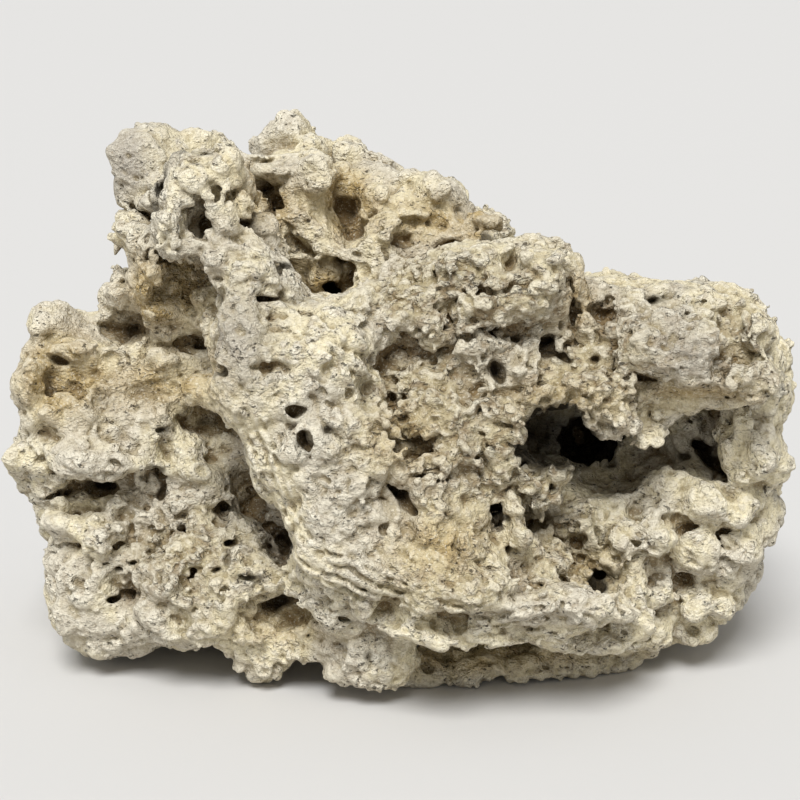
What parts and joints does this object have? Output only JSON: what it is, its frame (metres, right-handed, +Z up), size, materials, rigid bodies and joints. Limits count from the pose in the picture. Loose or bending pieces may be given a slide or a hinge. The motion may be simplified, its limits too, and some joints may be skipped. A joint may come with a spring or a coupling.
{
  "type": "dry reef rock",
  "caption": "Craggy, porous piece of dry reef limestone with ledges, knobs, bore holes and a cave under one arm, worn flat underneath so that it stands by itself.",
  "frame": {"origin": "middle of the rock's bounding box on the plane it rests on", "axes": "+Z up, +X along the rock's longest side, -Y out of the best side, the one with the wall, the ledge and the cave"},
  "size_m": [0.2119, 0.1408, 0.1436],
  "materials": {
    "dry_limestone": "dry, matte, chalky weathered crust in pale cream and light grey, tan and ochre in the hollows, no sheen"
  },
  "bodies": {
    "root": {"reef_rock": "dry_limestone"}
  },
  "joints": []
}
